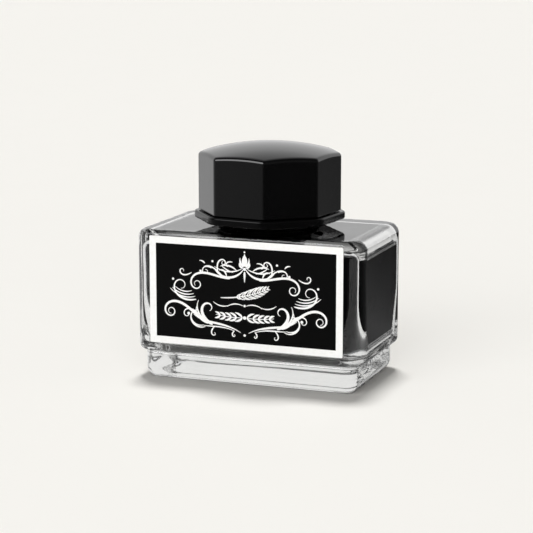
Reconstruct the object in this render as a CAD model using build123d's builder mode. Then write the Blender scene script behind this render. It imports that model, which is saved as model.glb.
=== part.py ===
from build123d import *

import math
import os

# A square-shouldered glass ink bottle with an eight-sided screw cap. Millimetres, +Z up.
# The origin is the centre of the footprint, on the surface that the bottle stands on, and the
# label faces -Y. Each piece is a separate solid, and the cap's pieces are drawn screwed down.

os.makedirs("parts", exist_ok=True)

# ---- Glass body and plinth ----
body_width = 68.0
body_depth = 39.4
shoulder_z = 43.2  # top face of the body
body_corner_radius = 5.2
shoulder_edge_radius = 1.6
body_foot_radius = 1.8
plinth_height = 8.0
plinth_side_inset = 2.2
plinth_front_inset = 1.25
plinth_corner_radius = 3.8
plinth_foot_radius = 3.0
plinth_top_radius = 0.8
punt_depth = 0.7  # the shallow hollow under the base, inside the ring that it stands on
punt_inset = 5.0

# ---- Cavity ----
wall = 2.5
base_thickness = 8.4
shoulder_thickness = 3.2
cavity_corner_radius = 5.0
cavity_floor_radius = 4.5
cavity_roof_radius = 2.5
bore_mouth_radius = 2.0  # where the roof runs up into the neck
bore_flare = 0.7  # how much wider the neck is inside at its foot
ink_above_shoulder = 3.4  # the level of the ink, just above the foot of the neck
flare_above_ink = 0.1  # the bore runs straight from here up

# ---- Neck ----
neck_radius = 13.9
bore_radius = 11.0
neck_foot_radius = 1.2
rim_radius = 0.8
bead_height = 1.6
bead_z = 6.0  # the bead's underside, above the shoulder
bead_edge_radius = 0.7

# ---- Screw thread, right-handed, single start ----
thread_pitch = 4.2
thread_depth = 1.1
thread_turns = 1.25
thread_root_width = 1.8
thread_crest_width = 0.7
thread_bottom_rise = 1.55  # from the bead up to the middle of the thread's bottom end
thread_top_drop = 2.2  # from the rim down to the middle of the thread's top end
thread_root_sink = 0.25  # how far a ridge is rooted in the wall behind it
thread_clearance = 0.3

# ---- Cap ----
cap_sides = 8
cap_clocking = -6.3  # degrees the closed cap stands round from square with the body
cap_gap = 2.2  # from the shoulder up to the flange
flange_thickness = 2.15
flange_proud = 1.35
flange_corner_rounding = 5.0
flange_edge_radius = 0.5
seam_gap = 0.25
shell_wall = 2.5  # at the middle of a flat
shell_top_thickness = 1.5  # at a corner, where the dome is lowest
dome_radius = 69.0
shell_corner_rounding = 1.3
shell_edge_radius = 1.2
shell_fit_clearance = 0.1
insert_wall = 1.0
insert_top_thickness = 1.2
rib_width = 1.6
rib_height = 0.8
rib_length = 9.0
rib_clearance = 0.1

# ---- Seal ----
wad_thickness = 1.2
facing_thickness = 0.2
facing_inset = 0.4
seal_side_clearance = 0.3
seal_face_clearance = 0.06

# ---- Label ----
label_side_margin = 5.2  # from the body's sides
label_foot_margin = 2.9  # above the plinth
label_top_margin = 1.5  # below the shoulder
label_thickness = 0.15
label_corner_radius = 0.4
foil_thickness = 0.05
border_width = 2.0
drop_height = 12.0
drop_bowl_radius = 3.6

edge_tolerance = 0.01  # how near a plane an edge counts as lying on it

# ---- Sizes that follow from the ones above ----
plinth_width = body_width - 2 * plinth_side_inset
plinth_depth = body_depth - 2 * plinth_front_inset
cavity_top = shoulder_z - shoulder_thickness
ink_z = shoulder_z + ink_above_shoulder
bead_middle_z = shoulder_z + bead_z + bead_height / 2
thread_start_z = bead_middle_z + bead_height / 2 + thread_bottom_rise
rim_z = thread_start_z + thread_turns * thread_pitch + thread_top_drop

insert_bore_radius = neck_radius + thread_depth + thread_clearance
insert_radius = insert_bore_radius + insert_wall
shell_bore_radius = insert_radius + shell_fit_clearance
half_side_angle = 180 / cap_sides
flat_share = math.cos(math.radians(half_side_angle))  # centre to flat, over centre to corner
cap_corner_radius = (shell_bore_radius + shell_wall) / flat_share
flange_corner_radius = cap_corner_radius + flange_proud / flat_share
flange_z = shoulder_z + cap_gap
shell_z = flange_z + flange_thickness + seam_gap
facing_z = rim_z + seal_face_clearance
wad_z = facing_z + facing_thickness
wad_radius = insert_bore_radius - seal_side_clearance
insert_ceiling_z = wad_z + wad_thickness + seal_face_clearance
insert_top_z = insert_ceiling_z + insert_top_thickness
corner_z = insert_top_z + shell_top_thickness
dome_centre_z = corner_z - math.sqrt(dome_radius**2 - cap_corner_radius**2)

label_width = body_width - 2 * label_side_margin
label_bottom = plinth_height + label_foot_margin
label_height = shoulder_z - label_top_margin - label_bottom
label_middle_z = label_bottom + label_height / 2


def octagon(corner_radius):
    """The cap's eight-sided outline, drawn in the current sketch."""
    turn = half_side_angle + cap_clocking
    RegularPolygon(radius=corner_radius, side_count=cap_sides, rotation=turn)


def thread_ridge(radius, outwards):
    """A helical ridge on a wall of this radius. Its crest points outwards for 1 and inwards for -1."""
    root = radius - outwards * thread_root_sink
    crest = radius + outwards * thread_depth
    with BuildLine() as helix:
        Helix(thread_pitch, thread_turns * thread_pitch, radius, center=(0, 0, thread_start_z))
    start = helix.line @ 0
    with BuildPart() as ridge:
        with BuildSketch(Plane(start, x_dir=(1, 0, 0), z_dir=helix.line % 0)):
            with BuildLine():
                Polyline(
                    (root - start.X, -thread_root_width / 2),
                    (crest - start.X, -thread_crest_width / 2),
                    (crest - start.X, thread_crest_width / 2),
                    (root - start.X, thread_root_width / 2),
                    close=True,
                )
            make_face()
        sweep(path=helix.line, is_frenet=True)
    return ridge.part


# ---- Helper shapes for the glass: the plinth, the body and the hollow ----
with BuildPart() as plinth:
    with BuildSketch():
        RectangleRounded(plinth_width, plinth_depth, plinth_corner_radius)
    extrude(amount=plinth_height)
    fillet(plinth.edges().group_by(Axis.Z)[0], plinth_foot_radius)
    fillet(plinth.edges().group_by(Axis.Z)[-1], plinth_top_radius)
    with BuildSketch():
        RectangleRounded(
            plinth_width - 2 * punt_inset,
            plinth_depth - 2 * punt_inset,
            plinth_corner_radius,
        )
    extrude(amount=punt_depth, mode=Mode.SUBTRACT)

with BuildPart() as body:
    with BuildSketch(Plane.XY.offset(plinth_height)):
        RectangleRounded(body_width, body_depth, body_corner_radius)
    extrude(amount=shoulder_z - plinth_height)
    fillet(body.edges().group_by(Axis.Z)[0], body_foot_radius)
    fillet(body.edges().group_by(Axis.Z)[-1], shoulder_edge_radius)

with BuildPart() as cavity:
    with BuildSketch(Plane.XY.offset(base_thickness)):
        RectangleRounded(body_width - 2 * wall, body_depth - 2 * wall, cavity_corner_radius)
    extrude(amount=cavity_top - base_thickness)
    fillet(cavity.edges().group_by(Axis.Z)[0], cavity_floor_radius)
    fillet(cavity.edges().group_by(Axis.Z)[-1], cavity_roof_radius)

with BuildPart() as hollow:
    add(cavity.part)
    with BuildSketch(Plane.XZ):
        with BuildLine():
            Polyline(
                (0, cavity_top),
                (bore_radius + bore_flare, cavity_top),
                (bore_radius, ink_z + flare_above_ink),
                (bore_radius, rim_z),
                (0, rim_z),
                close=True,
            )
        make_face()
    revolve(axis=Axis.Z)
    roof_edges = hollow.edges().filter_by(GeomType.CIRCLE).filter_by_position(
        Axis.Z, cavity_top - edge_tolerance, cavity_top + edge_tolerance
    )
    fillet(roof_edges.sort_by(SortBy.RADIUS)[-1], bore_mouth_radius)

# ---- Glass bottle: one moulding, open at the neck ----
neck_thread = thread_ridge(neck_radius, 1)
with BuildPart() as glass_bottle:
    add(plinth.part)
    add(body.part)
    with BuildSketch(Plane.XY.offset(shoulder_z)):
        Circle(neck_radius)
    extrude(amount=rim_z - shoulder_z)
    shoulder_edges = glass_bottle.edges().filter_by(GeomType.CIRCLE).filter_by_position(
        Axis.Z, shoulder_z - edge_tolerance, shoulder_z + edge_tolerance
    )
    fillet(shoulder_edges.sort_by(SortBy.RADIUS)[-1], neck_foot_radius)
    fillet(glass_bottle.edges().group_by(Axis.Z)[-1], rim_radius)
    # The bead below the thread, as wide as the thread.
    with BuildSketch(Plane.XZ):
        with Locations((neck_radius, bead_middle_z)):
            RectangleRounded(2 * thread_depth, bead_height, bead_edge_radius)
    revolve(axis=Axis.Z)
    add(neck_thread)
    add(hollow.part, mode=Mode.SUBTRACT)
glass_bottle.part.label = "glass_bottle"
export_step(glass_bottle.part, "parts/glass_bottle.step")

# ---- Ink: it fills the hollow up to its level ----
with BuildPart() as ink:
    add(hollow.part)
    split(bisect_by=Plane.XY.offset(ink_z), keep=Keep.BOTTOM)
ink.part.label = "ink"
export_step(ink.part, "parts/ink.step")

# ---- Cap shell: the eight-sided outer cap with a low dome ----
with BuildPart() as cap_shell:
    with BuildSketch(Plane.XY.offset(shell_z)):
        octagon(cap_corner_radius)
    extrude(amount=dome_centre_z + dome_radius - shell_z)
    fillet(cap_shell.edges().filter_by(Axis.Z), shell_corner_rounding)
    with Locations((0, 0, dome_centre_z)):
        Sphere(dome_radius, mode=Mode.INTERSECT)
    dome_face = cap_shell.faces().filter_by(GeomType.SPHERE).sort_by(SortBy.AREA)[-1]
    fillet(dome_face.edges(), shell_edge_radius)
    with BuildSketch(Plane.XY.offset(shell_z)):
        Circle(shell_bore_radius)
        with PolarLocations(shell_bore_radius, cap_sides, cap_clocking + half_side_angle):
            Rectangle(2 * (rib_height + rib_clearance), rib_width + 2 * rib_clearance)
    extrude(amount=insert_top_z - shell_z, mode=Mode.SUBTRACT)
cap_shell.part.label = "cap_shell"
export_step(cap_shell.part, "parts/cap_shell.step")

# ---- Cap insert: the threaded inner closure, with the flange that shows below the shell ----
insert_thread = thread_ridge(insert_bore_radius, -1)
with BuildPart() as cap_insert:
    with BuildSketch(Plane.XY.offset(flange_z)) as flange_outline:
        octagon(flange_corner_radius)
        fillet(flange_outline.vertices(), flange_corner_rounding)
    extrude(amount=flange_thickness)
    fillet(cap_insert.edges().filter_by(Plane.XY), flange_edge_radius)
    with BuildSketch(Plane.XY.offset(flange_z)):
        Circle(insert_radius)
    extrude(amount=insert_top_z - flange_z)
    with BuildSketch(Plane.XY.offset(shell_z)):
        with PolarLocations(insert_radius, cap_sides, cap_clocking + half_side_angle):
            Rectangle(2 * rib_height, rib_width)
    extrude(amount=rib_length)
    with BuildSketch(Plane.XY.offset(flange_z)):
        Circle(insert_bore_radius)
    extrude(amount=insert_ceiling_z - flange_z, mode=Mode.SUBTRACT)
    # Half a turn round from the neck's ridge puts this one midway between its turns.
    add(insert_thread, rotation=(0, 0, 180))
cap_insert.part.label = "cap_insert"
export_step(cap_insert.part, "parts/cap_insert.step")

# ---- Seal: a soft wad under the cap's top, faced with a thin film that meets the rim ----
with BuildPart() as seal_wad:
    with BuildSketch(Plane.XY.offset(wad_z)):
        Circle(wad_radius)
    extrude(amount=wad_thickness)
seal_wad.part.label = "seal_wad"
export_step(seal_wad.part, "parts/seal_wad.step")

with BuildPart() as seal_facing:
    with BuildSketch(Plane.XY.offset(facing_z)):
        Circle(wad_radius - facing_inset)
    extrude(amount=facing_thickness)
seal_facing.part.label = "seal_facing"
export_step(seal_facing.part, "parts/seal_facing.step")

# ---- Label: a paper sheet on the front face ----
with BuildPart() as front_label:
    with BuildSketch(Plane.XZ.offset(body_depth / 2)):
        with Locations((0, label_middle_z)):
            RectangleRounded(label_width, label_height, label_corner_radius)
    extrude(amount=label_thickness)
front_label.part.label = "front_label"
export_step(front_label.part, "parts/front_label.step")

# ---- Foil: the raised white print on the label, a border round a drop of ink ----
with BuildPart() as label_foil:
    with BuildSketch(Plane.XZ.offset(body_depth / 2 + label_thickness)):
        with Locations((0, label_middle_z)):
            RectangleRounded(label_width, label_height, label_corner_radius)
            Rectangle(
                label_width - 2 * border_width,
                label_height - 2 * border_width,
                mode=Mode.SUBTRACT,
            )
        drop_foot = label_middle_z - drop_height / 2
        with BuildLine():
            bowl_middle = drop_foot + drop_bowl_radius
            tip = (0, drop_foot + drop_height)
            left = (-drop_bowl_radius, bowl_middle)
            right = (drop_bowl_radius, bowl_middle)
            Spline(left, tip, tangents=((0, 1), (0.25, 1)))
            Spline(tip, right, tangents=((0.25, -1), (0, -1)))
            ThreePointArc(left, (0, drop_foot), right)
        make_face()
    extrude(amount=foil_thickness)
label_foil.part.label = "label_foil"
export_step(label_foil.part, "parts/label_foil.step")
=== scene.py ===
# %% [markdown]
# # A glass ink bottle
# The real thing is a pressed glass bottle of black ink with an eight-sided screw cap and a printed
# label. Its size, its joints and the place of every piece come from the CAD frame, which is loaded
# first and never moved. The lesson then makes each visible piece again as a smooth surface, because
# glass and polished plastic show every flat facet of a CAD mesh in their reflections.

import math

import bpy
import numpy as np
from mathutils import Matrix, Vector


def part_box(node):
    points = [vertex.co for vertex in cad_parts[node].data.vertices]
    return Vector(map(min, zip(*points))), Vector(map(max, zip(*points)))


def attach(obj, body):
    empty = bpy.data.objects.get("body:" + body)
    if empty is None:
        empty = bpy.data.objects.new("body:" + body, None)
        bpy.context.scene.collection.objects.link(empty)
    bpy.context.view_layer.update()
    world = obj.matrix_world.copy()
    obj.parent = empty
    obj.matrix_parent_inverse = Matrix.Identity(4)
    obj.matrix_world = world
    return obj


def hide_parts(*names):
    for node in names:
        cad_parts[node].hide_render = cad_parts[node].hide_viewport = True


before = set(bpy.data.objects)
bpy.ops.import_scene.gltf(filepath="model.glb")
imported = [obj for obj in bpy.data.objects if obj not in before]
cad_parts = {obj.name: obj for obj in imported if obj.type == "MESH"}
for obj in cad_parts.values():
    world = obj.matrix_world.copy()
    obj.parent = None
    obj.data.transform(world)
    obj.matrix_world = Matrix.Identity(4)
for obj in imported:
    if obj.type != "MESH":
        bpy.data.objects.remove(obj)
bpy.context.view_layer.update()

# %% [markdown]
# ## Sizes
# The frame gives the outer box of each node. The few sizes that a box doesn't show, such as corner
# radii, wall and thread, are the maker's own, in millimetres, and everything else is worked out.

# %% Sizes in millimetres
MM = 0.001


def box_mm(node):
    """The lowest and highest corners of a CAD node, in millimetres."""
    low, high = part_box(node)
    return np.array(low) / MM, np.array(high) / MM


glass_low, glass_high = box_mm("glass_bottle")
ink_low, ink_high = box_mm("ink")
shell_low, shell_high = box_mm("cap_shell")
insert_low, insert_high = box_mm("cap_insert")
wad_low, wad_high = box_mm("seal_wad")
facing_low, facing_high = box_mm("seal_facing")
label_low, label_high = box_mm("front_label")

HALF_WIDTH, HALF_DEPTH, RIM_Z = glass_high
SHOULDER_Z = 43.2
BODY_CORNER, SHOULDER_EDGE, BODY_FOOT = 5.2, 1.6, 1.8
PLINTH_Z, PLINTH_IN_X, PLINTH_IN_Y = 8.0, 2.2, 1.25
PLINTH_CORNER, PLINTH_FOOT, PLINTH_TOP = 3.8, 3.0, 0.8
PUNT_DEPTH, PUNT_INSET = 0.7, 5.0
CAVITY_CORNER, CAVITY_FLOOR, CAVITY_ROOF = 1.6, 4.5, 2.5
CAVITY_TOP_Z, MOUTH_RADIUS, BORE_FLARE = 40.0, 2.0, 0.7
NECK_RADIUS, BORE_RADIUS, NECK_FOOT, RIM_EDGE = 13.9, 11.0, 1.2, 0.8
BEAD_Z, BEAD_HEIGHT = 50.0, 1.6
PITCH, THREAD_DEPTH, THREAD_TURNS, THREAD_START_Z = 4.2, 1.1, 1.25, 52.35
THREAD_ROOT, THREAD_CREST = 1.8, 0.7
CAP_SIDES, CAP_CLOCKING, DOME_RADIUS = 8, -6.3, 69.0
SHELL_APOTHEM, SHELL_CORNER, SHELL_EDGE = 18.9, 1.3, 1.2
INSERT_BORE, INSERT_RADIUS, FLANGE_THICKNESS = 15.3, 16.3, 2.15
FLANGE_PROUD, FLANGE_CORNER, FLANGE_EDGE = 1.35, 5.0, 0.5
print("glass box, mm:", glass_low.round(2), glass_high.round(2))

# %% [markdown]
# ## Surfaces as grids
# Every new piece here is a closed surface over a grid: one parameter runs round the piece and the
# other runs along its section, from the middle of the outside to the middle of the inside. A mesh
# could also be modelled by hand or turned with a Screw modifier, but the grid gives exact sizes and
# even shading, and one function serves glass, plastic and board.

# %% Grid helpers
def rounded_path(corners, steps=8, support=0.15):
    """A section drawn as straight runs with round corners.

    corners holds (across, up, radius). At a corner of turn a, the arc of radius r starts r*tan(a/2)
    before the corner and ends as far after it. Points just beside each arc keep the flats flat.
    """
    corners = np.array(corners, float)
    points = [corners[0, :2]]
    for before, here, after in zip(corners, corners[1:], corners[2:]):
        run_in = (here - before)[:2] / np.linalg.norm((here - before)[:2])
        run_out = (after - here)[:2] / np.linalg.norm((after - here)[:2])
        cross = run_in[0] * run_out[1] - run_in[1] * run_out[0]
        turn = math.atan2(cross, run_in @ run_out)
        reach = here[2] * math.tan(abs(turn) / 2)
        normal = np.array([-run_in[1], run_in[0]]) * math.copysign(here[2], turn)
        start = here[:2] - run_in * reach
        angle = np.linspace(0, turn, steps + 1)[:, None]
        spoke = -normal * np.cos(angle) - np.array([-normal[1], normal[0]]) * np.sin(angle)
        points.append(start - run_in * support)
        points.extend(start + normal + spoke)
        points.append(here[:2] + run_out * (reach + support))
    points.append(corners[-1, :2])
    return np.array(points)


def densify(path, step):
    """The same path with extra points, so that no run is longer than step."""
    lengths = np.linalg.norm(np.diff(path, axis=0), axis=1)
    counts = np.maximum(np.ceil(lengths / step).astype(int), 1)
    pieces = [
        a + (b - a) * np.arange(n)[:, None] / n for a, b, n in zip(path, path[1:], counts)
    ]
    return np.vstack(pieces + [path[-1:]])


def solid(rings, joined=False):
    """A closed surface from rings[row, angle, xyz] in mm, as (points, faces with four or three ends).

    Each ring is joined to the next. A centre point closes the first and the last ring, or else,
    where joined, the last ring meets the first one. The enclosed volume, a sixth of the sum of
    a.(b x c) over the triangles, comes out negative if the faces point inwards, and then they turn.
    """
    rows, columns, _ = rings.shape
    points = rings.reshape(-1, 3)
    start = np.arange(columns)
    after = np.roll(start, -1)
    low = np.arange(rows if joined else rows - 1)[:, None] * columns
    high = (low + columns) % (rows * columns)
    quads = np.stack([low + start, low + after, high + after, high + start], axis=-1).reshape(-1, 4)
    fans = np.zeros((0, 3), int)
    if not joined:
        points = np.vstack([points, rings[[0, -1]].mean(axis=1)])
        first, last = rows * columns, (rows - 1) * columns
        fans = np.vstack(
            [
                np.stack([first + 0 * start, after, start], axis=-1),
                np.stack([first + 1 + 0 * start, last + start, last + after], axis=-1),
            ]
        )
    triangles = points[np.vstack([quads[:, :3], quads[:, [0, 2, 3]], fans])]
    volume = np.einsum("ij,ij->", triangles[:, 0], np.cross(triangles[:, 1], triangles[:, 2])) / 6
    if volume < 0:
        quads, fans = quads[:, ::-1], fans[:, ::-1]
    return points, quads, fans


def make_piece(name, *solids, smooth=True):
    """One mesh object from one or more closed surfaces."""
    shift = np.cumsum([0] + [len(points) for points, _, _ in solids])
    points = np.vstack([points for points, _, _ in solids]) * MM
    faces = []
    for (_, quads, fans), first in zip(solids, shift):
        faces += (quads + first).tolist() + (fans + first).tolist()
    mesh = bpy.data.meshes.new(name)
    mesh.from_pydata(points, [], faces)
    if smooth:
        mesh.shade_smooth()
    piece = bpy.data.objects.new(name, mesh)
    bpy.context.scene.collection.objects.link(piece)
    triangles = sum(len(face) - 2 for face in faces)
    size = np.ptp(points, axis=0) / MM
    print(f"{name}: {triangles} triangles, {size.round(1)} mm")
    return piece


def outline_radius(angle, half_x, half_y, corner):
    """How far a rounded rectangle's edge is from its centre, in the direction of each angle.

    The edge is half_x / cos or half_y / sin on the sides. On a corner it is the far point of the
    arc: with c the arc's centre and d the direction, it is d.c + sqrt((d.c)^2 - c.c + corner^2).
    """
    cos, sin = np.abs(np.cos(angle)), np.abs(np.sin(angle))
    centre_x, centre_y = half_x - corner, half_y - corner
    side = half_x / np.maximum(cos, 1e-9)
    end = half_y / np.maximum(sin, 1e-9)
    along = cos * centre_x + sin * centre_y
    inside = np.maximum(along**2 - centre_x**2 - centre_y**2 + corner**2, 0)
    arc = along + np.sqrt(inside)
    radius = np.where(side * sin <= centre_y, side, arc)
    return np.where(end * cos <= centre_x, end, radius)


def box_rings(angle, half_x, half_y, corner, path):
    """Rings of a rounded box. Each point of the path is (inset from the outline, height)."""
    inset, height = path[:, :1], path[:, 1:]
    radius = outline_radius(
        angle, half_x - inset, half_y - inset, np.maximum(corner - inset, 0)
    )
    return to_rings(angle, radius, height)


def round_rings(angle, path):
    """Rings of a turned shape. Each point of the path is (radius, height)."""
    return to_rings(angle, path[:, :1] + 0 * angle, path[:, 1:])


def to_rings(angle, radius, height):
    """x = radius * cos, y = radius * sin, z = height, as rings[row, angle, xyz]."""
    height = height + 0 * radius
    return np.stack([radius * np.cos(angle), radius * np.sin(angle), height], axis=-1)


def smooth_step(x):
    """0 below 0, 1 above 1, and 3x^2 - 2x^3 between, which starts and ends level."""
    x = np.clip(x, 0, 1)
    return x * x * (3 - 2 * x)


THREAD_FADE = 0.05


def thread_height(angle, height, turned=0.0):
    """How far a helical ridge stands out at each angle and height.

    The ridge's middle is at start + pitch * turns. Across it the section is a soft trapezoid, and
    over the first and last twentieth of a turn it fades into the wall.
    """
    share = ((angle - turned) / (2 * np.pi)) % 1.0
    out = np.zeros_like(height + share)
    for lap in range(math.ceil(THREAD_TURNS)):
        turns = share + lap
        off = np.abs(height - THREAD_START_Z - PITCH * turns)
        section = smooth_step((THREAD_ROOT / 2 - off) / ((THREAD_ROOT - THREAD_CREST) / 2))
        fade = smooth_step(turns / THREAD_FADE) * smooth_step((THREAD_TURNS - turns) / THREAD_FADE)
        out = np.maximum(out, section * fade)
    return out * THREAD_DEPTH


# %% [markdown]
# ## Glass bottle
# Pressed glass is thick, clear and a little uneven. The iron mould leaves the outside crisp, with
# small roundings, and the cavity is wavy, with upright corners that grow rounder towards the floor.
# Light bends at both, which is what draws the bright and dark bands in the corners and the plinth,
# so the whole wall is one closed surface, outside and inside, and not a thin shell.

# %% Angles round the bottle
def bottle_angles():
    """Angles in radians, close together where the corners are and wide apart on the flats.

    One quarter is listed in degrees, then mirrored to a half and repeated on the other side.
    """
    quarter = np.concatenate(
        [np.arange(0, 15, 3), np.arange(15, 24, 0.7), np.arange(24, 34, 0.33), np.arange(34, 90, 3)]
    )
    half = np.concatenate([quarter, 180 - quarter[:0:-1], [90.0]])
    half = np.unique(half)
    return np.radians(np.unique(np.concatenate([half, half + 180]) % 360))


bottle_angle = bottle_angles()
print("angles round the bottle:", len(bottle_angle))

# %% Unevenness
WAVE_DEPTH = 0.06
WAVE_START_Z, WAVE_FADE_IN = 13.0, 6.0
WAVE_END_Z, WAVE_FADE_OUT = 38.0, 4.0


def waviness(angle, height):
    """The unevenness of the cavity's wall, in mm: two slow waves that cross at an angle.

    The waves are sines of a few times the angle plus or minus a share of the height, and they fade
    out near the floor and near the roof.
    """
    fade_in = smooth_step((height - WAVE_START_Z) / WAVE_FADE_IN)
    fade_out = smooth_step((WAVE_END_Z - height) / WAVE_FADE_OUT)
    wave = np.sin(3 * angle + height * 0.23) + 0.7 * np.sin(7 * angle - height * 0.31 + 1.0)
    return WAVE_DEPTH * fade_in * fade_out * wave


def push_out(rings, distance):
    """Moves each point of the rings away from the Z axis by a distance."""
    flat = rings[..., :2]
    length = np.linalg.norm(flat, axis=-1, keepdims=True)
    rings = rings.copy()
    rings[..., :2] = flat * (1 + distance[..., None] / length)
    return rings


# %% Sections of the plinth, body and neck
# Insets from the outline at which a level run ends, and the radii at which the neck's section
# leaves the shoulder and reaches the cavity's roof. Between an inset and a radius, one row of faces
# turns the rectangle into a circle.
FLAT_END, LEDGE_END, SHOULDER_FLAT_END, ROOF_FLAT_END = 12.0, 0.2, 3.8, 3.1
NECK_FLAT_START, ROOF_FLAT_START = 15.8, 13.7
PUNT_EDGE = 0.3
plinth_path = rounded_path(
    [
        (FLAT_END, PUNT_DEPTH, 0),
        (PUNT_INSET, PUNT_DEPTH, PUNT_EDGE),
        (PUNT_INSET, 0, PUNT_EDGE),
        (0, 0, PLINTH_FOOT),
        (0, PLINTH_Z, PLINTH_TOP),
        (PLINTH_TOP + LEDGE_END, PLINTH_Z, 0),
    ]
)
plinth_path = densify(plinth_path, step=0.45)
body_path = rounded_path(
    [
        (BODY_FOOT + LEDGE_END, PLINTH_Z, 0),
        (0, PLINTH_Z, BODY_FOOT),
        (0, SHOULDER_Z, SHOULDER_EDGE),
        (SHOULDER_FLAT_END, SHOULDER_Z, 0),
    ],
    steps=10,
)
neck_path = rounded_path(
    [
        (NECK_FLAT_START, SHOULDER_Z, 0),
        (NECK_RADIUS, SHOULDER_Z, NECK_FOOT),
        (NECK_RADIUS, RIM_Z, RIM_EDGE),
        (BORE_RADIUS, RIM_Z, RIM_EDGE / 2),
        (BORE_RADIUS, ink_high[2] + 0.1, 0.05),
        (BORE_RADIUS + BORE_FLARE, CAVITY_TOP_Z, MOUTH_RADIUS),
        (ROOF_FLAT_START, CAVITY_TOP_Z, 0),
    ]
)
outer_neck = neck_path[: np.argmax(neck_path[:, 1] >= RIM_Z - RIM_EDGE) + 1]
inner_neck = neck_path[len(outer_neck):]
outer_neck = densify(outer_neck, step=0.25)
print("points along the plinth, body and neck:", len(plinth_path), len(body_path), len(neck_path))

# %% Plinth
RIPPLE, RIPPLE_START_Z, RIPPLE_END_Z = 0.018, 3.0, 7.0
plinth_rings = box_rings(
    bottle_angle, HALF_WIDTH - PLINTH_IN_X, HALF_DEPTH - PLINTH_IN_Y, PLINTH_CORNER, plinth_path
)
# The mould's chill marks: nearly level waves, a sine of the height, that only sink into the glass.
plinth_up = plinth_rings[..., 2]
ripple = RIPPLE * np.sin(plinth_up * 2.9 + 0.8 * np.cos(bottle_angle * 3))
ripple_room = smooth_step(plinth_up - RIPPLE_START_Z) * smooth_step(RIPPLE_END_Z - plinth_up)
plinth_rings = push_out(plinth_rings, (ripple - RIPPLE) * ripple_room)

# %% Body
SIDE_SHOULDER, END_OF_CORNER, CORNER_SPAN = 1.9, 36.0, 14.0


def shoulder_growth(angle):
    """How many times rounder the shoulder's edge is: 1 on the long sides, more on the short ones.

    The angle is folded to its distance from the X axis, in degrees, and the growth eases from its
    full value to 1 over the span of the upright corner.
    """
    folded = np.abs((np.degrees(angle) + 90) % 180 - 90)
    return 1 + (SIDE_SHOULDER - 1) * smooth_step((END_OF_CORNER - folded) / CORNER_SPAN)


body_inset, body_up = body_path[:, :1], body_path[:, 1:]
near_shoulder = body_up >= SHOULDER_Z - SHOULDER_EDGE - LEDGE_END
at_shoulder = near_shoulder & (body_inset < SHOULDER_EDGE + LEDGE_END)
growth = np.where(at_shoulder, shoulder_growth(bottle_angle), 1.0)
body_radius = outline_radius(
    bottle_angle,
    HALF_WIDTH - body_inset * growth,
    HALF_DEPTH - body_inset * growth,
    np.maximum(BODY_CORNER - body_inset * growth, 0),
)
body_rings = to_rings(bottle_angle, body_radius, SHOULDER_Z - (SHOULDER_Z - body_up) * growth)
print("shoulder edge, mm:", SHOULDER_EDGE, "on the long sides and", SHOULDER_EDGE * SIDE_SHOULDER)

# %% Neck, bead and thread
neck_rings = round_rings(bottle_angle, outer_neck)
neck_up = neck_rings[..., 2]
# The bead's section is half an ellipse: sqrt(1 - t^2), with t running from -1 to 1 across it.
bead_span = np.clip(1 - ((neck_up - BEAD_Z) / (BEAD_HEIGHT / 2)) ** 2, 0, 1)
bead = np.sqrt(bead_span) * THREAD_DEPTH
neck_rings = push_out(neck_rings, np.maximum(bead, thread_height(bottle_angle, neck_up)))
bore_rings = round_rings(bottle_angle, inner_neck)

# %% Cavity and the whole bottle
CORNER_GROWTH, CORNER_FADE = 5.0, 18.0


def cavity_rings(grow, rounder=0.0, floor_gap=0.0):
    """The cavity's wall, from the neck's mouth down to the floor, grown by a distance.

    The upright corners' radius grows by CORNER_GROWTH, on a smooth step, over the lowest
    CORNER_FADE. All corners and edges can be rounder than the cavity's own, by an extra radius,
    and the floor can be higher, by a gap.
    """
    floor_z = ink_low[2] + floor_gap
    path = rounded_path(
        [
            (ROOF_FLAT_END, CAVITY_TOP_Z + grow, 0),
            (0, CAVITY_TOP_Z + grow, CAVITY_ROOF + rounder),
            (0, floor_z, CAVITY_FLOOR + rounder),
            (FLAT_END, floor_z, 0),
        ],
        steps=14,
    )
    path = densify(path, step=1.6)
    low_share = 1 - smooth_step((path[:, 1:] - ink_low[2]) / CORNER_FADE)
    corner = CAVITY_CORNER + CORNER_GROWTH * low_share + rounder
    rings = box_rings(bottle_angle, ink_high[0] + grow, ink_high[1] + grow, corner, path)
    return push_out(rings, waviness(bottle_angle, rings[..., 2]))


glass_rings = [plinth_rings, body_rings, neck_rings, bore_rings, cavity_rings(0.0)]
bottle = make_piece("bottle_glass", solid(np.concatenate(glass_rings)))
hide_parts("glass_bottle")
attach(bottle, "bottle")

# %% [markdown]
# ## Ink
# Ink wets the glass, and where its surface meets the neck it climbs into a small meniscus. Two
# surfaces in one place confuse a ray tracer, so on the flats the ink is grown into the glass by a
# few hundredths of a millimetre: light that crosses the glass meets ink at once. In the corners the
# ink is a little rounder than the cavity, and it ends a hair above the floor. The thin gap mirrors
# light sideways, and that keeps the corners and the thick base bright and clear.

# %% Ink body
INK_GROWTH, INK_ROUNDER, INK_FLOOR_GAP = 0.03, 0.7, 0.06
MENISCUS, MENISCUS_REACH = 0.7, 2.4
ink_level = ink_high[2]
ink_neck = inner_neck[inner_neck[:, 1] < ink_level] + [INK_GROWTH, 0]
# A centre point closes each surface from a ring of this radius.
HUB_RADIUS = 2.0
meniscus_share = np.linspace(0, 1, 9)
meniscus = np.stack(
    [
        BORE_RADIUS + INK_GROWTH - MENISCUS_REACH * (1 - meniscus_share),
        ink_level - MENISCUS + MENISCUS * meniscus_share**3,
    ],
    axis=-1,
)
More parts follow.
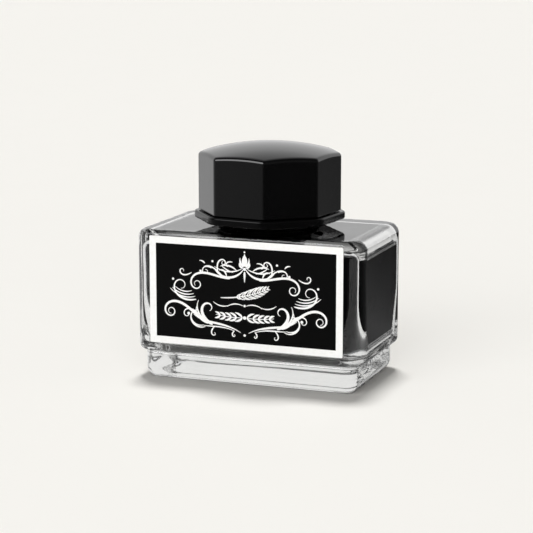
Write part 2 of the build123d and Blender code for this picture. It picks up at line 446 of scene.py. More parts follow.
# The surface climbs to the wall as the cube of the share of the way to it.
ink_top = np.vstack([[(HUB_RADIUS, ink_level - MENISCUS)], meniscus])
ink_rings = [
    round_rings(bottle_angle, ink_top),
    round_rings(bottle_angle, ink_neck),
    cavity_rings(INK_GROWTH, INK_ROUNDER, INK_FLOOR_GAP),
]
ink_body = make_piece("ink_body", solid(np.concatenate(ink_rings)))
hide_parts("ink")
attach(ink_body, "bottle")

# %% [markdown]
# ## Cap
# The shell is a moulded eight-sided cup with a low domed top and a small rounding on every edge.
# Those roundings are what catch the light as thin bright lines. The insert inside it holds the
# thread, and its flange shows as a ring under the shell, with a fine dark seam between them.

# %% Angles and outline of an eight-sided piece
def cap_angles():
    """Angles that crowd round the eight corners, where the outline turns fast."""
    near = np.array([0, 0.12, 0.24, 0.36, 0.48, 0.62, 0.8, 1.1, 1.6, 2.4])
    half_side = 180 / CAP_SIDES
    flat = np.arange(0, half_side - 3, 1.3)
    side = np.unique(np.concatenate([half_side - near, flat, -flat, near[1:] - half_side]))
    sides = np.arange(CAP_SIDES) * 360 / CAP_SIDES + CAP_CLOCKING
    return np.radians(np.sort((sides[:, None] + side[None, :]).ravel() % 360))


cap_angle = cap_angles()
print("angles round the cap:", len(cap_angle))


def octagon_radius(angle, apothem, corner):
    """How far an eight-sided outline with rounded corners is from its centre at each angle.

    Within a side, at w from its middle, the flat is at apothem / cos(w). Past the end of the flat
    the corner's arc takes over, found as for the rounded rectangle.
    """
    step = 2 * np.pi / CAP_SIDES
    off = (angle - math.radians(CAP_CLOCKING) + step / 2) % step - step / 2
    off = np.abs(off)
    inner = apothem - corner
    flat = apothem / np.cos(off)
    reach = inner / math.cos(step / 2)
    along = reach * np.cos(step / 2 - off)
    arc = along + np.sqrt(np.maximum(along**2 - reach**2 + corner**2, 0))
    return np.where(flat * np.sin(off) <= inner * math.tan(step / 2), flat, arc)


def octagon_rings(angle, apothem, corner, path):
    """Rings of an eight-sided piece. Each point of the path is (inset, height)."""
    inset, height = path[:, :1], path[:, 1:]
    radius = octagon_radius(angle, apothem - inset, np.maximum(corner - inset, 0.02))
    return to_rings(angle, radius, height)


# %% Dome and rolled edge of the shell
DOME_CORNER = 0.4
dome_centre = shell_high[2] - DOME_RADIUS
share = np.linspace(0.04, 1, 26)[:, None]
edge_inset = octagon_radius(cap_angle, SHELL_APOTHEM - SHELL_EDGE, DOME_CORNER)
dome_radius_in_plan = edge_inset * share
# The dome is part of a sphere: its height is the root of the radius squared less the plan's squared.
dome = to_rings(
    cap_angle,
    dome_radius_in_plan,
    dome_centre + np.sqrt(DOME_RADIUS**2 - dome_radius_in_plan**2),
)
# The edge's arc rolls inside the dome: its centres lie on a sphere smaller by the arc's radius.
roll_height = dome_centre + np.sqrt((DOME_RADIUS - SHELL_EDGE) ** 2 - edge_inset**2)
roll_start = np.arctan2(roll_height - dome_centre, edge_inset)
roll = np.linspace(1, 0, 9)[1:, None] * roll_start
edge_radius = octagon_radius(
    cap_angle,
    SHELL_APOTHEM - SHELL_EDGE * (1 - np.cos(roll)),
    np.maximum(SHELL_CORNER - SHELL_EDGE * (1 - np.cos(roll)), DOME_CORNER),
)
edge = to_rings(cap_angle, edge_radius, roll_height + SHELL_EDGE * np.sin(roll))

# %% Facets, foot and bore of the shell
FOOT_EDGE, FOOT_WIDTH = 0.2, 1.2
SHELL_FIT, INSERT_EDGE = 0.1, 0.3
facet_share = np.array([0.006, 0.03, 0.3, 0.6, 0.9, 0.975])[:, None]
facet_low = shell_low[2] + SHELL_EDGE / 2
facets = to_rings(
    cap_angle,
    octagon_radius(cap_angle, SHELL_APOTHEM, SHELL_CORNER) + 0 * facet_share,
    roll_height + (facet_low - roll_height) * facet_share,
)
foot = octagon_rings(
    cap_angle,
    SHELL_APOTHEM,
    SHELL_CORNER,
    rounded_path(
        [(0, facet_low + 0.2, 0), (0, shell_low[2], FOOT_EDGE), (FOOT_WIDTH, shell_low[2], 0)]
    ),
)
shell_bore = round_rings(
    cap_angle,
    rounded_path(
        [
            (INSERT_RADIUS + 0.6, shell_low[2], 0),
            (INSERT_RADIUS + SHELL_FIT, shell_low[2], FOOT_EDGE),
            (INSERT_RADIUS + SHELL_FIT, insert_high[2], INSERT_EDGE),
            (HUB_RADIUS, insert_high[2], 0),
        ],
        steps=5,
    ),
)
shell_rings = [dome, edge, facets, foot, shell_bore]
cap_shell = make_piece("cap_shell_moulding", solid(np.concatenate(shell_rings)))
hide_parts("cap_shell")
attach(cap_shell, "cap")

# %% Outside and flange of the insert
WAD_CLEARANCE, FLANGE_OVERLAP = 0.06, 2.2
FLANGE_TOP_Z = insert_low[2] + FLANGE_THICKNESS
flange_apothem = SHELL_APOTHEM + FLANGE_PROUD
insert_ceiling = wad_high[2] + WAD_CLEARANCE
insert_outside = round_rings(
    cap_angle,
    rounded_path(
        [
            (HUB_RADIUS, insert_high[2], 0),
            (INSERT_RADIUS, insert_high[2], INSERT_EDGE),
            (INSERT_RADIUS, FLANGE_TOP_Z, 0.1),
            (INSERT_RADIUS + 0.6, FLANGE_TOP_Z, 0),
        ],
        steps=5,
    ),
)
flange = octagon_rings(
    cap_angle,
    flange_apothem,
    FLANGE_CORNER,
    rounded_path(
        [
            (FLANGE_OVERLAP, FLANGE_TOP_Z, 0),
            (0, FLANGE_TOP_Z, FLANGE_EDGE),
            (0, insert_low[2], FLANGE_EDGE),
            (FLANGE_OVERLAP, insert_low[2], 0),
        ],
        steps=6,
    ),
)

# %% Inside and thread of the insert
MOUTH_EDGE = 0.4
insert_inside_path = rounded_path(
    [
        (INSERT_BORE + 1.0, insert_low[2], 0),
        (INSERT_BORE, insert_low[2], MOUTH_EDGE),
        (INSERT_BORE, insert_ceiling, INSERT_EDGE),
        (HUB_RADIUS, insert_ceiling, 0),
    ],
    steps=5,
)
insert_inside_path = densify(insert_inside_path, step=0.22)
insert_inside = round_rings(cap_angle, insert_inside_path)
ridge = thread_height(cap_angle, insert_inside[..., 2], turned=math.pi)
on_wall = np.abs(insert_inside_path[:, :1] - INSERT_BORE) < 0.01
insert_inside = push_out(insert_inside, -ridge * on_wall)
insert_rings = [insert_outside, flange, insert_inside]
cap_insert = make_piece("cap_insert_moulding", solid(np.concatenate(insert_rings)))
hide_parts("cap_insert")
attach(cap_insert, "cap")

# %% [markdown]
# ## Seal
# A disc of pulp board is punched out of a sheet, so its edge is a little soft, and a white film
# covers the side that meets the glass. Closing the cap again and again presses a ring into the film.

# %% Wad and facing
disc_angle = np.radians(np.arange(0, 360, 3.0))
RING_WIDTH = 0.9


def disc(name, low, high, edge, press):
    """A disc between two heights, whose underside is pressed up by a ring where the rim bears.

    The ring's depth is press times e^-d^2, with d the distance from the rim's middle over the
    ring's width.
    """
    radius = high[0]
    path = rounded_path(
        [(1.0, high[2], 0), (radius, high[2], edge), (radius, low[2], edge), (1.0, low[2], 0)],
        steps=4,
        support=0.05,
    )
    path = densify(path, step=0.5)
    rim_middle = (NECK_RADIUS + BORE_RADIUS) / 2
    ring = np.exp(-(((path[:, 0] - rim_middle) / RING_WIDTH) ** 2))
    path[:, 1] += press * ring * (path[:, 1] < low[2] + edge / 2)
    return make_piece(name, solid(round_rings(disc_angle, path)))


wad = disc("wad_board_disc", wad_low, wad_high, edge=0.2, press=0.0)
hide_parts("seal_wad")
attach(wad, "seal")
facing = disc("facing_film_disc", facing_low, facing_high, edge=0.06, press=0.05)
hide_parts("seal_facing")
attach(facing, "seal")

# %% [markdown]
# ## Label
# The label is thin coated paper, printed in white on black, die-cut with almost square corners and
# glued flat on the front. Glue leaves no air behind it, so it is set a hair into the glass, as the
# ink is. The print is real geometry a few hundredths of a millimetre proud, so it stays sharp from
# any distance, which a painted pattern wouldn't.

# %% Label paper and border
LABEL_CORNER = 0.4
GLUE_DEPTH = 0.02
PRINT_HEIGHT = 0.04
paper_front = label_low[1]
label_centre_z = (label_low[2] + label_high[2]) / 2
label_half_x, label_half_z = label_high[0], (label_high[2] - label_low[2]) / 2


def on_label(rings):
    """Stands rings that were drawn flat up against the paper.

    x stays as it is, y becomes z, and what stood up from the drawing points forward.
    """
    across, up, out = rings[..., 0], rings[..., 1], rings[..., 2]
    return np.stack([across, paper_front - out, up + label_centre_z], axis=-1)


def plate_loop(inset, out, corner=LABEL_CORNER, steps=6):
    """A rounded rectangle inset from the label's edge: a quarter circle about each corner."""
    radius = max(corner - inset, 0.02)
    quarter = np.linspace(0, np.pi / 2, steps + 1)
    angle = (np.arange(4)[:, None] * np.pi / 2 + quarter).ravel()
    side = np.array([(1, 1), (-1, 1), (-1, -1), (1, -1)]).repeat(steps + 1, axis=0)
    centre = side * (np.array([label_half_x, label_half_z]) - inset - radius)
    flat = centre + radius * np.stack([np.cos(angle), np.sin(angle)], axis=-1)
    return np.column_stack([flat, np.full(len(flat), out)])


paper_depth = glass_low[1] - paper_front + GLUE_DEPTH
paper_loops = [(0.02, 0), (0, -0.02), (0, -paper_depth)]
paper = make_piece(
    "label_paper_sheet",
    solid(on_label(np.stack([plate_loop(inset, out) for inset, out in paper_loops]))),
    smooth=False,
)
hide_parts("front_label")
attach(paper, "bottle")

BORDER_MARGIN, BORDER_WIDTH = 0.02, 2.0
PRINT_FOOT = -0.01
border_loops = [
    (BORDER_MARGIN, PRINT_FOOT),
    (BORDER_MARGIN, PRINT_HEIGHT),
    (BORDER_WIDTH, PRINT_HEIGHT),
    (BORDER_WIDTH, PRINT_FOOT),
]
border = solid(on_label(np.stack([plate_loop(*loop) for loop in border_loops])), joined=True)

# %% [markdown]
# ## Printed ornament
# An engraver draws scrollwork with a flexible nib: a stroke swells where the nib is pressed, thins
# at its ends and winds tighter as it closes. One function of the length along the stroke says all of
# that. The scrolls are drawn for the right half and mirrored. In the middle lie a feather pen, the
# swash it has drawn and a sprig of laurel, all made of the same strokes.

# %% Strokes of the nib
NIB_HAIRLINE = 0.13


def ribbon(line, width, height):
    """A flat ribbon along a line of points: its sides are half the width to the left and right.

    Its section is a rectangle that stands from just inside the paper to the height given.
    """
    along = np.gradient(line, axis=0)
    along /= np.linalg.norm(along, axis=1, keepdims=True)
    left = np.stack([-along[:, 1], along[:, 0]], axis=-1) * width[:, None] / 2
    sides = [(left, height), (left, PRINT_FOOT), (-left, PRINT_FOOT), (-left, height)]
    rings = [np.column_stack([line + side, np.full(len(line), out)]) for side, out in sides]
    return np.stack(rings, axis=1)


def stroke(x, y, heading, length, steady, curl, width, belly=1.0, points=48):
    """A stroke from (x, y) whose heading at a share s of its length is heading + steady s + curl s^3.

    Its place is the running sum of the cosine and sine of that heading. Its width is the hairline
    plus width times sin(pi s^belly), so a belly under 1 swells early and one above 1 swells late.
    """
    share = np.linspace(0, 1, points)
    turn = np.radians(heading + steady * share + curl * share**3)
    steps = np.stack([np.cos(turn), np.sin(turn)], axis=-1) * length / (points - 1)
    line = np.vstack([[0, 0], np.cumsum((steps[1:] + steps[:-1]) / 2, axis=0)]) + [x, y]
    return line, NIB_HAIRLINE + width * np.sin(np.pi * share**belly)


def dot(x, y, radius):
    """A round dot, as a short ribbon whose width is 2 * radius * sqrt(1 - s^2) at a share s."""
    share = np.linspace(-0.98, 0.98, 15)
    line = np.column_stack([np.full(len(share), x), y + radius * share])
    return line, 2 * radius * np.sqrt(1 - share**2)


# %% Strokes of the design
right_half = [
    # The finial's petals, and the arm that dips and rises from it.
    stroke(0.2, 8.3, 66, 3.0, 46, 0, 0.5, 0.7),
    stroke(0.3, 8.1, 34, 2.9, 70, 0, 0.46, 0.7),
    stroke(0.4, 7.8, 4, 2.6, 110, 60, 0.38, 0.7),
    stroke(0.3, 7.5, -58, 10.2, 104, 10, 0.5, 0.9),
    stroke(0.8, 7.6, -30, 8.6, 62, 0, 0.26, 0.9),
    stroke(4.4, 4.5, 4, 21.5, 66, -570, 0.52, 0.55, 84),
    stroke(6.6, 5.3, 38, 11.0, 10, -430, 0.26, 0.6, 60),
    # Leaves and a curl over the arm.
    stroke(2.4, 7.0, 44, 5.2, -66, 0, 0.34, 0.8),
    stroke(3.4, 6.4, 10, 4.0, 34, 0, 0.24, 0.8),
    stroke(7.9, 5.9, 74, 8.4, 60, 400, 0.32, 0.6, 60),
    stroke(5.4, 5.2, 84, 3.2, -70, -60, 0.36, 0.8),
    stroke(3.6, 9.3, 10, 3.6, -60, -220, 0.24, 0.8),
    stroke(9.9, 7.2, 40, 2.2, -70, 0, 0.3, 0.8),
    stroke(11.9, 8.4, 60, 1.9, -70, 0, 0.28, 0.8),
    # The side scrolls, with their fan of hairs.
    stroke(15.9, 5.6, -34, 6.4, 50, 300, 0.28, 0.8),
    stroke(14.6, -2.0, -16, 15.6, 116, 270, 0.42, 0.5, 84),
    stroke(14.9, -1.2, -18, 8.2, 64, 0, 0.26, 0.9),
    stroke(15.3, -0.4, -20, 7.0, 64, 0, 0.24, 0.9),
    stroke(15.9, 0.4, -22, 5.4, 64, 0, 0.2, 0.9),
    # The large lower scroll, its leaf of three blades and the long curve under it.
    stroke(11.6, -8.3, 30, 24.4, 62, -640, 0.62, 0.55, 96),
    stroke(13.4, -6.6, 44, 9.0, -44, -330, 0.26, 0.6, 60),
    stroke(9.6, -8.9, 22, 11.6, 96, 230, 0.8, 0.5, 72),
    stroke(10.2, -8.8, 20, 8.6, 64, 40, 0.42, 0.6, 48),
    stroke(11.0, -8.7, 16, 6.6, 58, 40, 0.3, 0.6, 48),
    stroke(1.2, -10.6, 30, 15.0, -62, 72, 0.5, 1.1, 72),
    stroke(3.2, -10.2, 20, 9.4, -44, 30, 0.24, 1.1, 60),
    stroke(11.8, -9.6, -24, 9.6, 160, 60, 0.36, 0.8, 60),
    stroke(12.4, -9.2, -20, 6.6, 120, 40, 0.24, 0.8, 48),
    stroke(9.0, -9.4, -42, 4.4, -50, -260, 0.26, 0.7),
    stroke(3.0, -10.2, -34, 3.0, -80, -260, 0.26, 0.7),
    dot(9.6, 9.2, 0.32),
    dot(21.6, 3.4, 0.34),
    dot(13.2, 6.2, 0.36),
    dot(16.9, -6.2, 0.42),
]
middle = [
    stroke(0, 8.2, 90, 3.6, 0, 0, 0.85, 0.9),
    dot(0, 12.3, 0.26),
    dot(0, 7.5, 0.42),
    stroke(0, 6.8, -90, 3.0, 0, 0, 0.5, 0.6),
    dot(0, -11.3, 0.36),
]


# %% Emblem in the middle
def mirrored(lines):
    """Each stroke, and the same stroke with x turned over."""
    return lines + [(line * [-1, 1], width) for line, width in lines]


BARB_WIDTH, VEIN_WIDTH, LEAF_WIDTH = 0.17, 0.12, 0.5


def quill(x, y, length, tilt, barbs=13):
    """A feather pen: a bowed shaft, and barbs along both sides of it that grow and shrink again.

    The vane covers the last 69 hundredths of the shaft. At a share s of the vane a barb is
    0.9 + 2.5 sin(pi s^0.7) millimetres long, and it leaves the shaft at 50 degrees and bends back.
    """
    bow = 26
    shaft, thickness = stroke(x, y, tilt, length, bow, 0, 0.22, 0.5)
    strokes = [(shaft, thickness)]
    for number in range(barbs):
        share = (number + 0.5) / barbs
        at = 0.3 + 0.69 * share
        root = shaft[int(at * (len(shaft) - 1))]
        lean = tilt + bow * at
        size = 0.9 + 2.5 * math.sin(math.pi * share**0.7)
        strokes.append(stroke(*root, lean + 50, size, -44, 0, BARB_WIDTH, 0.8, 14))
        strokes.append(stroke(*root, lean - 50, size * 0.85, 44, 0, BARB_WIDTH, 0.8, 14))
    return strokes


def sprig(half_length, y, leaves=5):
    """Half of a laurel sprig: a bowed stem, with a leaf above and a leaf below it at each joint.

    The first leaves are 2.7 mm long, and each pair after them is 0.2 mm shorter.
    """
    stem, thickness = stroke(0.5, y, -4, half_length, 14, 0, VEIN_WIDTH, 1)
    strokes = [(stem, thickness)]
    for number in range(leaves):
        root = stem[int((number + 0.2) / leaves * (len(stem) - 1))]
        size = 2.7 - 0.2 * number
        strokes.append(stroke(*root, 58, size, -54, 0, LEAF_WIDTH, 0.8, 16))
        strokes.append(stroke(*root, -52, size, 54, 0, LEAF_WIDTH, 0.8, 16))
    return strokes


emblem = [
    *quill(-7.2, -1.0, 15, 1),
    *mirrored([stroke(0.5, -2.9, 24, 5.0, -60, 0, 0.2), stroke(4.9, -3.1, -20, 4.8, 60, 0, 0.2)]),
    dot(0, -2.9, 0.36),
    *mirrored(sprig(8.2, -6.3)),
    dot(0, -6.3, 0.5),
]

# %% The print as one piece
# Each stroke stands a hair lower than the one before, so that strokes that cross don't flicker.
PRINT_STEP = 0.0002
print_lines = mirrored(right_half) + middle + emblem
print_solids = [
    solid(on_label(ribbon(line, width, PRINT_HEIGHT - PRINT_STEP * number)))
    for number, (line, width) in enumerate(print_lines)
]
label_print = make_piece("label_print", border, *print_solids, smooth=False)
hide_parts("label_foil")
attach(label_print, "bottle")

# %% [markdown]
# ## Finishes
# Each finish begins from what the thing is made of. A dark glossy plastic owes nearly all its looks
# to what it mirrors, so its own detail is faint: a slow unevenness from the mould and a few rubbed
# places. Glass is the same. Paper and board show their fibres.

# %% Material helpers
def colour(code):
    """A linear colour from an sRGB hex code: v/12.92 if dark, else ((v+0.055)/1.055)^2.4."""
    values = np.array([int(code[i:i + 2], 16) for i in (1, 3, 5)]) / 255
    linear = np.where(values <= 0.04045, values / 12.92, ((values + 0.055) / 1.055) ** 2.4)
    return (*linear.tolist(), 1.0)


def add(tree, kind, settings=None, links=None, **fields):
    """Adds a node to a tree, sets its fields and input values, and links its inputs."""
    made = tree.nodes.new(kind)
    for name, value in fields.items():
        setattr(made, name, value)
    for name, value in (settings or {}).items():
        made.inputs[name].default_value = value
    for name, output in (links or {}).items():
        tree.links.new(output, made.inputs[name])
    return made


def finish(name, **shader):
    """A new material with one Principled shader: returns the material, its tree and the shader."""
    material = bpy.data.materials.new(name)
    material.use_nodes = True
    tree = material.node_tree
    principled = tree.nodes["Principled BSDF"]
    for socket, value in shader.items():
        principled.inputs[socket.replace("_", " ")].default_value = value
    return material, tree, principled


def per_mm(size):
    """The noise scale at which one feature is size millimetres across."""
    return 1 / (size * MM)


def noise(tree, size, detail=2.0, rough=0.5, stretch=(1, 1, 1)):
    """Noise with features of a size in mm, read from Object coordinates and stretched by axis."""
    place = add(tree, "ShaderNodeTexCoord")
    scaled = add(tree, "ShaderNodeMapping", {"Scale": stretch}, {"Vector": place.outputs["Object"]})
    return add(
        tree,
        "ShaderNodeTexNoise",
        {"Scale": per_mm(size), "Detail": detail, "Roughness": rough},
        {"Vector": scaled.outputs["Vector"]},
    ).outputs["Fac"]


def spread(tree, source, low, high, start=0.0, end=1.0):
    """A value that goes from low to high while the source goes from start to end."""
    return add(
        tree,
        "ShaderNodeMapRange",
        {"From Min": start, "From Max": end, "To Min": low, "To Max": high},
        {"Value": source},
    ).outputs["Result"]


def blend_colours(tree, share, first, second):
    """A colour from first to second as share goes from 0 to 1."""
    mix = add(tree, "ShaderNodeMix", data_type="RGBA")
    mix.inputs["A"].default_value = colour(first)
    mix.inputs["B"].default_value = colour(second)
    tree.links.new(share, mix.inputs["Factor"])
    return mix.outputs["Result"]


def relief(tree, principled, height, depth_mm):
    """Bump on a shader: height goes from 0 to 1 over a depth in millimetres."""
    bump = add(
        tree, "ShaderNodeBump", {"Strength": 1.0, "Distance": depth_mm * MM}, {"Height": height}
    )
    tree.links.new(bump.outputs["Normal"], principled.inputs["Normal"])


def coat_piece(piece, *materials):
    """Gives a piece its materials, in the order of its slots."""
    piece.data.materials.clear()
    for material in materials:
        piece.data.materials.append(material)


# %% [markdown]
# ### Pressed soda-lime glass
# Soda-lime glass has an IOR of 1.52. An iron mould leaves its skin slightly uneven, with waves a few
# millimetres wide and at most two hundredths deep, which make reflections swim a little.

# %% Glass
glass, tree, shader = finish(
    "soda_lime_glass_pressed",
    Base_Color=colour("#EFF1F4"),
    Transmission_Weight=1.0,
    IOR=1.52,
    Roughness=0.0,
)
relief(tree, shader, noise(tree, 7.0, detail=1.0), 0.02)
coat_piece(bottle, glass)

# %% [markdown]
# ### Ink
# Black ink is water with so much dye that no light comes back out of it. Against glass it mirrors
# almost nothing, because its IOR of 1.34 is near the glass's 1.52: the ratio, 1.14, is what matters
# there, and it serves all of the ink that faces the glass. Its open surface in the neck mirrors the
# room as any water does.

# %% Ink
wetted, tree, shader = finish("ink_against_glass", IOR=1.14, Roughness=0.02)
tree.links.new(
    blend_colours(tree, spread(tree, noise(tree, 9.0), 0, 1, 0.35, 0.65), "#040405", "#08080A"),
    shader.inputs["Base Color"],
)
open_ink, tree, shader = finish("ink_open_surface", IOR=1.34, Roughness=0.02)
tree.links.new(
    blend_colours(tree, spread(tree, noise(tree, 3.0), 0, 1, 0.35, 0.65), "#050506", "#0A0A0D"),
    shader.inputs["Base Color"],
)
coat_piece(ink_body, wetted, open_ink)

# %% Which faces of the ink are open
LEVEL_MARGIN, WALL_MARGIN = 0.1, 0.05
middles = np.empty(len(ink_body.data.polygons) * 3)
ink_body.data.polygons.foreach_get("center", middles)
middles = middles.reshape(-1, 3) / MM
is_open = middles[:, 2] > ink_level - MENISCUS - LEVEL_MARGIN
is_open &= np.hypot(middles[:, 0], middles[:, 1]) < BORE_RADIUS - WALL_MARGIN
ink_body.data.polygons.foreach_set("material_index", is_open.astype(np.int32))
print("open ink faces:", int(is_open.sum()))

# %% [markdown]
# ### Moulded plastics
# The shell is a black thermoset, compression-moulded against a polished die: IOR about 1.6, almost
# mirror smooth, with faint flow and a few rubbed patches. The insert is black polypropylene, IOR
# 1.49, which shrinks as it cools and so is a little duller, and its mirror is set weaker to show it.

# %% Cap plastics
shell_black, tree, shader = finish("phenolic_moulded_polished", IOR=1.6)
flow = noise(tree, 11.0, detail=2.0)
tree.links.new(blend_colours(tree, flow, "#040404", "#070708"), shader.inputs["Base Color"])
rubbed = noise(tree, 5.0, detail=5.0, rough=0.65)
tree.links.new(spread(tree, rubbed, 0.05, 0.13, 0.45, 0.75), shader.inputs["Roughness"])
relief(tree, shader, flow, 0.01)
coat_piece(cap_shell, shell_black)

insert_black, tree, shader = finish("polypropylene_moulded", IOR=1.49, Specular_IOR_Level=0.2)
grain = noise(tree, 2.0, detail=4.0)
tree.links.new(blend_colours(tree, grain, "#050505", "#0A0A0B"), shader.inputs["Base Color"])
tree.links.new(spread(tree, grain, 0.1, 0.16), shader.inputs["Roughness"])
relief(tree, shader, grain, 0.008)
coat_piece(cap_insert, insert_black)

# %% [markdown]
# ### Board and film
# Pulp board is grey-buff, matt and fibrous. The film on it is white polyethylene, with a soft shine.

# %% Seal
board, tree, shader = finish("pulp_board", IOR=1.45, Roughness=0.9)
fibres = noise(tree, 0.9, detail=6.0, rough=0.7, stretch=(1, 3, 1))
tree.links.new(
    blend_colours(tree, spread(tree, fibres, 0, 1, 0.3, 0.7), "#8F8268", "#C4B899"),
    shader.inputs["Base Color"],
)
relief(tree, shader, fibres, 0.06)
coat_piece(wad, board)

film, tree, shader = finish("polyethylene_film", IOR=1.51)
stain = noise(tree, 4.0, detail=4.0)
tree.links.new(
    blend_colours(tree, spread(tree, stain, 0, 1, 0.4, 0.8), "#F0EFEA", "#C9C9CC"),
    shader.inputs["Base Color"],
)
tree.links.new(spread(tree, stain, 0.3, 0.42), shader.inputs["Roughness"])
relief(tree, shader, stain, 0.02)
coat_piece(facing, film)

# %% [markdown]
# ### Printed paper
# The paper is clay-coated and flooded with black, so it mirrors little and shows a fine tooth. The
# white is a pigment print on top: opaque, almost matt, and a little uneven where it lies thinner.

# %% Label finishes
coated, tree, shader = finish("coated_paper_black", IOR=1.4, Specular_IOR_Level=0.15)
tooth = noise(tree, 0.35, detail=4.0, rough=0.6)
tree.links.new(blend_colours(tree, tooth, "#050505", "#090909"), shader.inputs["Base Color"])
tree.links.new(spread(tree, tooth, 0.42, 0.6), shader.inputs["Roughness"])
relief(tree, shader, tooth, 0.01)
coat_piece(paper, coated)

white_print, tree, shader = finish("pigment_print_white", IOR=1.45, Specular_IOR_Level=0.3)
thin_places = noise(tree, 1.1, detail=5.0, rough=0.6)
tree.links.new(
    blend_colours(tree, spread(tree, thin_places, 0, 1, 0.35, 0.6), "#FAFAF8", "#FFFFFF"),
    shader.inputs["Base Color"],
)
tree.links.new(spread(tree, thin_places, 0.45, 0.6), shader.inputs["Roughness"])
coat_piece(label_print, white_print)

# %% [markdown]
# ## Floor, light and camera
# The floor is a matt pale sheet under a weak even sky. A lamp high behind the bottle throws a short
# shadow forwards, and a wide soft fill from low in front lights the label. What black gloss and
# glass mirror matters more than what lights them, so in a studio cards are laid on the table beside
# such things. One round card does that here: only reflections see it, and it is bright to the back
# left and dark to the front right.

# %% Floor
FLOOR_HALF = 8.0
floor_mesh = bpy.data.meshes.new("floor")
corners = np.array([(-1, -1, 0), (1, -1, 0), (1, 1, 0), (-1, 1, 0)]) * FLOOR_HALF
floor_mesh.from_pydata(corners, [], [(0, 1, 2, 3)])
floor = bpy.data.objects.new("floor", floor_mesh)
bpy.context.scene.collection.objects.link(floor)
floor.visible_glossy = False
floor_paper, tree, shader = finish("pale_backdrop_paper", Roughness=0.9, Specular_IOR_Level=0.0)
mottle = noise(tree, 30.0, detail=3.0)
tree.links.new(blend_colours(tree, mottle, "#F6F4EF", "#F5F3EE"), shader.inputs["Base Color"])
coat_piece(floor, floor_paper)
print("floor:", 2 * FLOOR_HALF, "m square")

# %% Reflection card
CARD_RADII = np.array([0.03, 0.3, 1.6])[:, None]
card_angle = np.radians(np.arange(0, 360, 5.0))
card_rings = to_rings(card_angle, CARD_RADII + 0 * card_angle, np.zeros((3, 1)))
card_mesh = bpy.data.meshes.new("reflection_card")
columns = len(card_angle)
start = np.arange(columns)
after = np.roll(start, -1)
low = np.arange(len(CARD_RADII) - 1)[:, None] * columns
card_faces = np.stack([low + start, low + columns + start, low + columns + after, low + after], -1)
card_mesh.from_pydata(card_rings.reshape(-1, 3), [], card_faces.reshape(-1, 4).tolist())
card = bpy.data.objects.new("reflection_card", card_mesh)
bpy.context.scene.collection.objects.link(card)
for ray in ("camera", "diffuse", "transmission", "volume_scatter", "shadow"):
    setattr(card, f"visible_{ray}", False)
print("card faces:", len(card_mesh.polygons))

# %% Brightness round the card
# The radial gradient runs from 0 along -X, anticlockwise, to 1 where it meets itself again, so the
# front is at 0.25, the right at 0.5 and the back at 0.75.
CARD_STOPS = [
    (0.00, 0.80),
    (0.06, 0.50),
    (0.14, 0.26),
    (0.22, 0.05),
    (0.33, 0.02),
    (0.45, 0.03),
    (0.64, 0.17),
    (0.69, 0.02),
    (0.82, 0.10),
    (0.90, 0.90),
    (1.00, 0.80),
]
card_light = bpy.data.materials.new("card_brightness")
card_light.use_nodes = True
tree = card_light.node_tree
tree.nodes.clear()
place = add(tree, "ShaderNodeTexCoord")
around = add(
    tree,
    "ShaderNodeTexGradient",
    {},
    {"Vector": place.outputs["Object"]},
    gradient_type="RADIAL",
)
ramp = add(tree, "ShaderNodeValToRGB", {}, {"Fac": around.outputs["Fac"]})
while len(ramp.color_ramp.elements) < len(CARD_STOPS):
    ramp.color_ramp.elements.new(0.5)
for element, (position, brightness) in zip(ramp.color_ramp.elements, CARD_STOPS):
    element.position = position
    element.color = (brightness, brightness, brightness, 1)
glow = add(tree, "ShaderNodeEmission", {}, {"Color": ramp.outputs["Color"]})
add(tree, "ShaderNodeOutputMaterial", {}, {"Surface": glow.outputs["Emission"]})
coat_piece(card, card_light)
print("card brightness stops:", len(ramp.color_ramp.elements))

# %% [markdown]
# ### Three skies in one
# The world asks each ray what it is for. Rays from the camera, straight or through the glass, see
# the plain backdrop. Rays that light matt things see a weak even sky. Mirrored rays see a studio:
# bright behind the bottle, darker towards the camera and overhead, with one soft round window to
# the front left, which draws the bright lines on the rounded edges. The window could be a lamp with
# a shape, but in the sky it costs nothing and can't light the floor.

# %% Mirrored sky
BACK_AZIMUTH = math.radians(20.6)
TO_THE_BACK = (-math.sin(BACK_AZIMUTH), math.cos(BACK_AZIMUTH), 0)
TO_THE_WINDOW = (-0.490, -0.754, 0.438)
world = bpy.data.worlds.new("studio")
world.use_nodes = True
bpy.context.scene.world = world
tree = world.node_tree
tree.nodes.clear()
direction = add(tree, "ShaderNodeTexCoord").outputs["Generated"]
split = add(tree, "ShaderNodeSeparateXYZ", {}, {"Vector": direction})
overhead = spread(tree, split.outputs["Z"], 0.92, 0.35, 0.42, 0.7)
# A dot product of two directions is the cosine of the angle between them.
backward = add(
    tree, "ShaderNodeVectorMath", {1: TO_THE_BACK}, {0: direction}, operation="DOT_PRODUCT"
)
lit_share = add(
    tree,
    "ShaderNodeMapRange",
    {"From Min": -0.05, "From Max": 0.55, "To Min": 0.12, "To Max": 1.0},
    {"Value": backward.outputs["Value"]},
    interpolation_type="SMOOTHSTEP",
)
sky_shine = add(
    tree, "ShaderNodeMath", {}, {0: overhead, 1: lit_share.outputs["Result"]}, operation="MULTIPLY"
)
windowward = add(
    tree, "ShaderNodeVectorMath", {1: TO_THE_WINDOW}, {0: direction}, operation="DOT_PRODUCT"
)
window_shine = add(
    tree,
    "ShaderNodeMapRange",
    {"From Min": 0.93, "From Max": 0.975, "To Min": 0.0, "To Max": 4.0},
    {"Value": windowward.outputs["Value"]},
    interpolation_type="SMOOTHSTEP",
)
mirrored_strength = add(
    tree,
    "ShaderNodeMath",
    {},
    {0: sky_shine.outputs["Value"], 1: window_shine.outputs["Result"]},
    operation="ADD",
)
print("window stands at", round(math.degrees(math.asin(TO_THE_WINDOW[2]))), "degrees up")

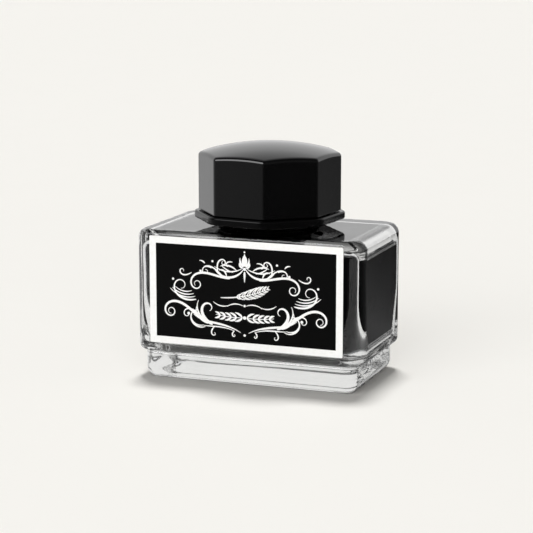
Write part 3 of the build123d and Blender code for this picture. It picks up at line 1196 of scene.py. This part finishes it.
# %% Which ray sees which sky
SKY = 0.13
rays = add(tree, "ShaderNodeLightPath")
even = add(tree, "ShaderNodeBackground", {"Color": colour("#FFFFFF"), "Strength": SKY})
seen = add(tree, "ShaderNodeBackground", {"Color": colour("#F6F4EF"), "Strength": 1.0})
shine = add(
    tree,
    "ShaderNodeBackground",
    {"Color": colour("#FFFFFF")},
    {"Strength": mirrored_strength.outputs["Value"]},
)
is_mirror = add(
    tree,
    "ShaderNodeMath",
    {},
    {0: rays.outputs["Is Glossy Ray"], 1: rays.outputs["Is Transmission Ray"]},
    operation="SUBTRACT",
    use_clamp=True,
)
is_seen = add(
    tree,
    "ShaderNodeMath",
    {},
    {0: rays.outputs["Is Camera Ray"], 1: rays.outputs["Is Transmission Ray"]},
    operation="MAXIMUM",
)
matt_or_seen = add(
    tree,
    "ShaderNodeMixShader",
    {},
    {0: is_seen.outputs["Value"], 1: even.outputs["Background"], 2: seen.outputs["Background"]},
)
whole_sky = add(
    tree,
    "ShaderNodeMixShader",
    {},
    {0: is_mirror.outputs["Value"], 1: matt_or_seen.outputs[0], 2: shine.outputs["Background"]},
)
add(tree, "ShaderNodeOutputWorld", {}, {"Surface": whole_sky.outputs[0]})
print("world nodes:", len(tree.nodes))

# %% [markdown]
# ### Lamps
# Both lamps are suns, because a sun's width sets how soft its shadow is at any scale. Reflections
# and refractions don't see them, so the glass shows no lamp as a burnt spot.

# %% Lamps
def sun(name, energy, width, azimuth, elevation):
    """A sun lamp, with its angles in degrees. At azimuth 0 it shines from the front."""
    data = bpy.data.lights.new(name, "SUN")
    data.energy = energy
    data.angle = math.radians(width)
    lamp = bpy.data.objects.new(name, data)
    lamp.rotation_euler = (math.radians(90 - elevation), 0, math.radians(azimuth))
    lamp.visible_glossy = False
    lamp.visible_transmission = False
    bpy.context.scene.collection.objects.link(lamp)
    print(f"{name}: {elevation} degrees up, {width} degrees wide")
    return lamp


sun("back_lamp", energy=2.08, width=13, azimuth=200.6, elevation=78)
sun("front_fill", energy=2.35, width=80, azimuth=5, elevation=14)

# %% [markdown]
# ### How far light may go
# Light that enters a thick glass base runs round inside it many times before it leaves. Cut short,
# it would turn dark, so the number of bounces is raised. The Standard view keeps the blacks of ink
# and plastic black and the backdrop's colour as it is given.

# %% Bounces and view
BOUNCES = 32
bpy.context.scene.view_settings.view_transform = "Standard"
bpy.context.scene.cycles.max_bounces = BOUNCES
bpy.context.scene.cycles.glossy_bounces = BOUNCES
bpy.context.scene.cycles.transmission_bounces = BOUNCES

# %% Camera
CAMERA_AZIMUTH, CAMERA_ELEVATION = math.radians(20.6), math.radians(10.76)
CAMERA_DISTANCE, AIM_Z, AIM_SIDE = 520.6, 31.08, -0.895
LENS = 122.3
camera_data = bpy.data.cameras.new("camera")
camera_data.lens = LENS
camera = bpy.data.objects.new("camera", camera_data)
right = np.array([math.cos(CAMERA_AZIMUTH), math.sin(CAMERA_AZIMUTH), 0])
back = np.array(
    [
        math.sin(CAMERA_AZIMUTH) * math.cos(CAMERA_ELEVATION),
        -math.cos(CAMERA_AZIMUTH) * math.cos(CAMERA_ELEVATION),
        math.sin(CAMERA_ELEVATION),
    ]
)
aim = right * AIM_SIDE + [0, 0, AIM_Z]
camera.location = (aim + back * CAMERA_DISTANCE) * MM
camera.rotation_euler = (math.pi / 2 - CAMERA_ELEVATION, 0, CAMERA_AZIMUTH)
bpy.context.scene.collection.objects.link(camera)
bpy.context.scene.camera = camera
print("camera distance, mm:", CAMERA_DISTANCE)
